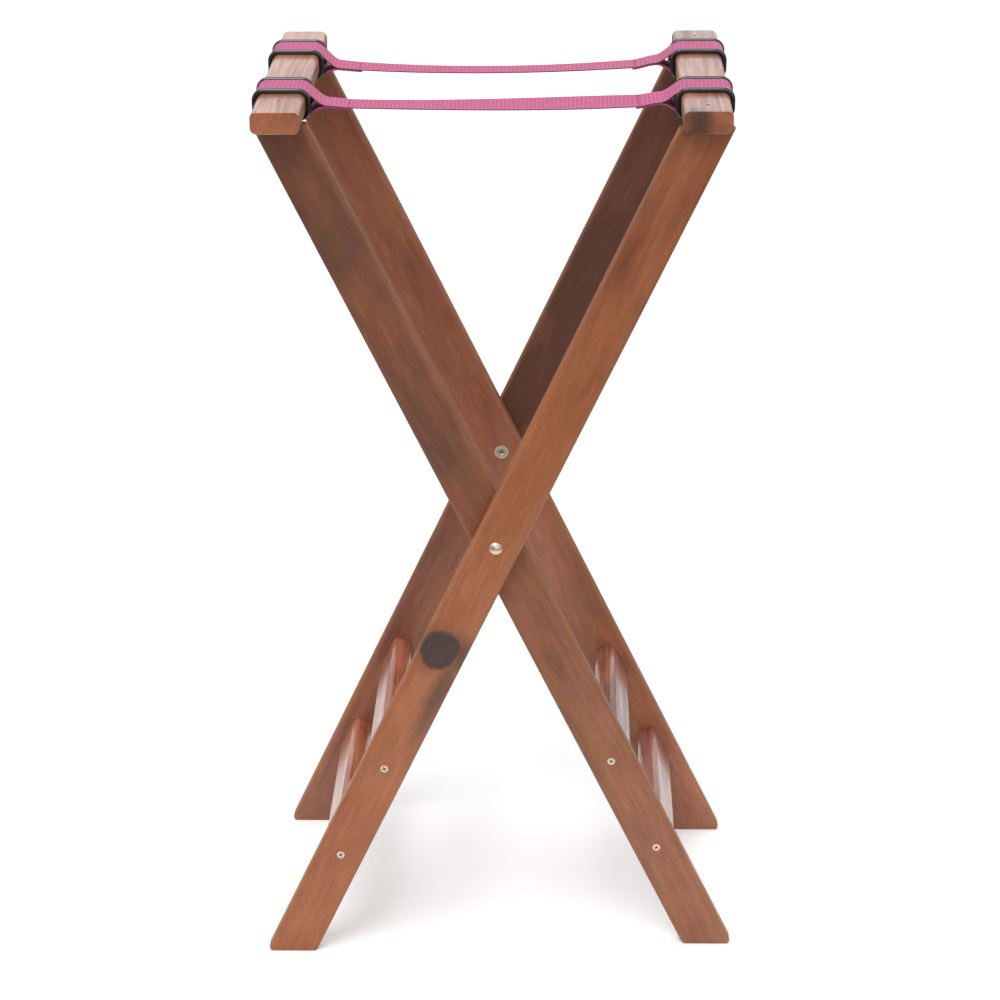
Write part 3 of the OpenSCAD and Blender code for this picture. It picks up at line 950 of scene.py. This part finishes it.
    def weave(self) -> bpy.types.Object:
        """Sweep the cross-section along the route, with its ribs, and sew its map.

        Returns:
            The strap's object.
        """
        spacing = self.rib_pitch / self.rings_per_rib
        points = self.route(spacing)
        step = self.length / (len(points) - 1)
        placed = self.stations(points)
        section = self.section()
        section.append(section[0])
        bm = bmesh.new()
        bmesh.ops.create_grid(bm, x_segments=len(points) - 1, y_segments=len(section) - 1, size=1.0)
        places: dict[bmesh.types.BMVert, tuple[float, float]] = {}
        for vert in bm.verts:
            i = round((vert.co.x + 1) / 2 * (len(points) - 1))
            across, out = section[round((vert.co.y + 1) / 2 * (len(section) - 1))]
            crest = (0.5 + 0.5 * math.cos(math.tau * i * step / self.rib_pitch)) ** 3
            thin = self.rib_depth / self.thickness * (1.0 - crest)
            edge = min(1.0, (self.width / 2 - abs(across)) / self.rib_fade)
            vert.co = placed[i] @ Vector((across, out * (1.0 - thin * edge), 0.0))
            places[vert] = (i * step, across)
        rim = [v for v in bm.verts if v.is_boundary]
        bmesh.ops.remove_doubles(bm, verts=rim, dist=WELD_REACH)
        bmesh.ops.holes_fill(bm, edges=[e for e in bm.edges if e.is_boundary], sides=len(section))
        sheet = bm.loops.layers.uv.new("weave")
        for face in bm.faces:
            face.smooth = True
            for corner in face.loops:
                corner[sheet].uv = places[corner.vert]
        bmesh.ops.recalc_face_normals(bm, faces=bm.faces)
        return finished(bm, f"{self.node}_webbing")

    def tacks(self) -> bpy.types.Object:
        """Sew the bar tack at each end, above the span and under the tail.

        Returns:
            The stitching's object.
        """
        bm = bmesh.new()
        tack_x = self.sewn_x - self.overlap + self.tack_inset
        tack_width = self.width - 2 * self.tack_margin
        last = 2 * self.stitch_pairs
        for side in (-1, 1):
            for face, height in ((1, self.thickness), (-1, -self.thickness - self.tail_gap)):
                x = side * tack_x
                slope = math.atan2(self.drop(x - self.tack_inset) - self.drop(x + self.tack_inset),
                                   2 * self.tack_inset)
                seam = Matrix.Translation((x, self.y, self.span_z - self.drop(x)))
                seam = seam @ Matrix.Rotation(self.lean(x), 4, "X") @ Matrix.Rotation(-slope, 4, "Y")
                seam = seam @ Matrix.Translation((0, 0, height))
                for i in range(last + 1):
                    across = (i / last - 0.5) * tack_width
                    slant = math.radians(self.stitch_slant if i % 2 else -self.stitch_slant)
                    stitch = bmesh.ops.create_uvsphere(bm, u_segments=8, v_segments=5, radius=1.0)
                    shape = Matrix.Diagonal((*self.stitch_radii, 1.0))
                    place = Matrix.Translation((0, across, face * self.stitch_lift))
                    bmesh.ops.transform(bm, verts=stitch["verts"],
                                        matrix=seam @ place @ Matrix.Rotation(slant, 4, "Z") @ shape)
        for face in bm.faces:
            face.smooth = True
        return finished(bm, f"{self.node}_stitching")

    def build(self, webbing: WovenWebbing, thread: SewingThread) -> None:
        """Make the strap and its stitching, give them their finishes and hide the imported strap.

        Args:
            webbing: The strap's finish.
            thread: The stitching's finish.
        """
        strap, stitching = self.weave(), self.tacks()
        strap.data.materials.append(webbing.material())
        stitching.data.materials.append(thread.material())
        for piece in (strap, stitching):
            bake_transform(piece)
        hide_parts(self.node)
        LOG.info("%s: %.0f mm of webbing, %d faces, stitching of %d faces", self.node,
                 1000 * self.length, len(strap.data.polygons), len(stitching.data.polygons))


def finished(bm: bmesh.types.BMesh, name: str) -> bpy.types.Object:
    """Turn a bmesh into an object at the origin.

    Args:
        bm: The shape, which is freed.
        name: The object's name.

    Returns:
        The object.
    """
    mesh = bpy.data.meshes.new(name)
    bm.to_mesh(mesh)
    bm.free()
    piece = bpy.data.objects.new(name, mesh)
    bpy.context.scene.collection.objects.link(piece)
    return piece


# ------------------------------------------------------------------------ stage


@dataclass(frozen=True)
class SoftLamp:
    """A broad far lamp: where it shines from, how strongly and how softly."""

    name: str
    azimuth: float
    elevation: float
    strength: float
    softness: float

    def hang(self) -> None:
        """Add the lamp to the scene."""
        data = bpy.data.lights.new(self.name, "SUN")
        data.energy = self.strength
        data.angle = math.radians(self.softness)
        lamp = bpy.data.objects.new(self.name, data)
        a, e = math.radians(self.azimuth), math.radians(self.elevation)
        towards = Vector((math.sin(a) * math.cos(e), -math.cos(a) * math.cos(e), math.sin(e)))
        lamp.rotation_euler = towards.to_track_quat("Z", "Y").to_euler()
        bpy.context.scene.collection.objects.link(lamp)


@dataclass
class Studio:
    """The camera, the soft lamps, the white surroundings and the pale floor."""

    eye: tuple[float, float, float] = (0.0746, -2.8310, 1.6583)
    look_down: float = 22.571
    look_left: float = 1.491
    roll: float = -0.501
    lens_mm: float = 100.08
    sensor_mm: float = 36.0
    ambient: float = 0.6
    front_gloss: float = 0.3
    floor_glow: float = 0.18
    paper: float = 0.85
    paper_reach: tuple[float, float] = (0.35, 1.7)
    far_paper: float = 0.2
    floor_reach: float = 12.0
    lamps: tuple[SoftLamp, ...] = (
        SoftLamp("key_lamp", -24.0, 60.0, 1.7, 34.0),
        SoftLamp("low_fill_lamp", 16.0, 5.0, 0.75, 60.0),
        SoftLamp("back_lamp", 150.0, 55.0, 0.6, 60.0),
    )

    def build(self) -> None:
        """Set up the whole stage."""
        bpy.context.scene.view_settings.view_transform = "Standard"
        self.place_camera()
        self.light_surroundings()
        self.lay_floor()
        for lamp in self.lamps:
            lamp.hang()
        LOG.info("studio: camera, floor, surroundings and %d lamps", len(self.lamps))

    def place_camera(self) -> None:
        """Stand the camera in front, looking down at the stand."""
        data = bpy.data.cameras.new("camera")
        data.lens = self.lens_mm
        data.sensor_width = self.sensor_mm
        camera = bpy.data.objects.new("camera", data)
        down, left = math.radians(self.look_down), math.radians(self.look_left)
        ahead = Vector((-math.sin(left) * math.cos(down), math.cos(left) * math.cos(down), -math.sin(down)))
        right = Vector((math.cos(left), math.sin(left), 0.0))
        above = right.cross(ahead)
        turn = Matrix((right, above, -ahead)).transposed().to_4x4()
        camera.matrix_world = (Matrix.Translation(self.eye) @ turn
                               @ Matrix.Rotation(math.radians(self.roll), 4, "Z"))
        bpy.context.scene.collection.objects.link(camera)
        bpy.context.scene.camera = camera

    def light_surroundings(self) -> None:
        """Surround the stand with even light that looks white, but for the viewer's side."""
        world = bpy.data.worlds.new("surroundings")
        world.use_nodes = True
        bpy.context.scene.world = world
        g = NodeGraph(world.node_tree)
        background = world.node_tree.nodes["Background"]
        background.inputs["Color"].default_value = (1.0, 1.0, 1.0, 1.0)
        path = g.add("LightPath").outputs
        _, depth, height = g.split(g.add("TexCoord").outputs["Generated"])
        mirrored = g.ease(g.math("MULTIPLY_ADD", height, 0.6, depth), -0.7, 0.2, self.front_gloss, 1.0)
        gloss = g.math("MAXIMUM", path["Is Glossy Ray"], path["Is Transmission Ray"])
        unseen = g.ease(gloss, 0.0, 1.0, self.ambient, mirrored)
        g.feed(background.inputs["Strength"], g.ease(path["Is Camera Ray"], 0.0, 1.0, unseen, 1.0))

    def lay_floor(self) -> None:
        """Lay a wide pale floor that keeps the stand's soft shadow."""
        bm = bmesh.new()
        bmesh.ops.create_grid(bm, x_segments=1, y_segments=1, size=self.floor_reach)
        floor = finished(bm, "floor")
        material, g, shader = new_finish("floor_paper")
        path = g.add("LightPath").outputs
        place = g.add("TexCoord").outputs["Object"]
        near = g.ease(g.vector("LENGTH", place, result="Value"), *self.paper_reach, 1.0, self.far_paper)
        seen = path["Is Camera Ray"]
        pale = g.math("MULTIPLY", g.math("MAXIMUM", seen, near), self.paper)
        g.feed(shader.inputs["Base Color"], g.join(pale, pale, pale))
        gloss = g.math("MAXIMUM", path["Is Glossy Ray"], path["Is Transmission Ray"])
        glow = g.math("MULTIPLY", g.math("MAXIMUM", seen, g.math("MULTIPLY", gloss, near)), self.floor_glow)
        g.feed(shader.inputs["Emission Strength"], glow)
        set_constants(shader, Roughness=1.0, Specular_IOR_Level=0.0, Emission_Color=(1.0, 1.0, 1.0, 1.0))
        floor.data.materials.append(material)


def main() -> None:
    """Build the stage and dress the stand."""
    logging.basicConfig(level=logging.INFO, format="%(name)s: %(message)s")
    Studio().build()
    for parts in (WoodenFrames(), MetalFittings(), StrapSleeves()):
        parts.dress()
    front = WebbingStrap("front_strap", sag=0.0042, skew=0.0018, rises=(0.0012, 0.0030),
                         tilt=2.2, twist=8.0)
    rear = WebbingStrap("rear_strap", sag=0.0087, skew=0.0015, rises=(0.0004, 0.0036), tilt=-3.4)
    # crown is the webbing's painted highlight colour and edge the colour of its painted edge shade
    webbing = WovenWebbing("rose_webbing", colour=tone(188, 86, 130), shadow=tone(164, 62, 102),
                           crown=tone(222, 146, 180), edge=tone(122, 52, 84),
                           rib_pitch=RIB_PITCH, half_width=front.width / 2)
    thread = SewingThread("tack_thread", tone(174, 66, 104))
    for strap in (front, rear):
        strap.build(webbing, thread)


if __name__ == "__main__":
    main()
